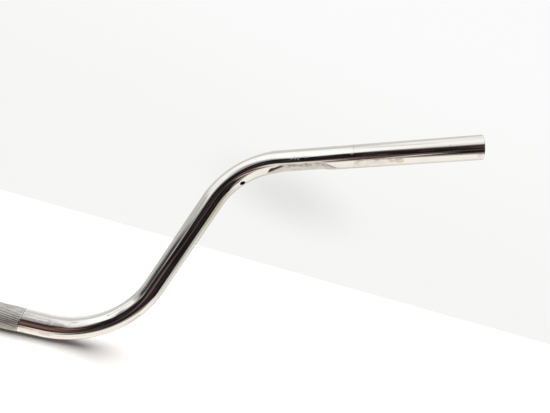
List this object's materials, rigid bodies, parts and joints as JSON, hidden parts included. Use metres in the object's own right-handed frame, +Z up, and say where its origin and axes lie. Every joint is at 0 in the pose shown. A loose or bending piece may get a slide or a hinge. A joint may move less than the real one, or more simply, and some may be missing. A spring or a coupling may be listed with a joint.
{
  "type": "handlebar",
  "caption": "Bare chrome motorcycle handlebar: one bent 1 in steel tube with knurled clamp section, risers, swept grips, wiring dimples and clip holes.",
  "frame": {"origin": "middle of the knurled clamp section, on the tube's axis", "axes": "+X along the clamp section to the rider's right, +Y forwards, +Z up in the plane of the two risers; the grips rise and sweep back towards the rider, -Y"},
  "size_m": [0.8658, 0.1355, 0.3875],
  "materials": {
    "chrome": "bright chrome plate on steel, with light pitting, stains and scuffs",
    "knurled_chrome": "diamond-knurled chrome, dulled grey in the grooves"
  },
  "bodies": {
    "root": {"clamp_section": "knurled_chrome", "right_shoulder": "chrome", "left_shoulder": "chrome", "right_lower_bend": "chrome", "left_lower_bend": "chrome", "right_riser": "chrome", "left_riser": "chrome", "right_upper_bend": "chrome", "left_upper_bend": "chrome", "right_dimpled_section": "chrome", "left_dimpled_section": "chrome", "right_bar_end": "chrome", "left_bar_end": "chrome"}
  },
  "joints": []
}
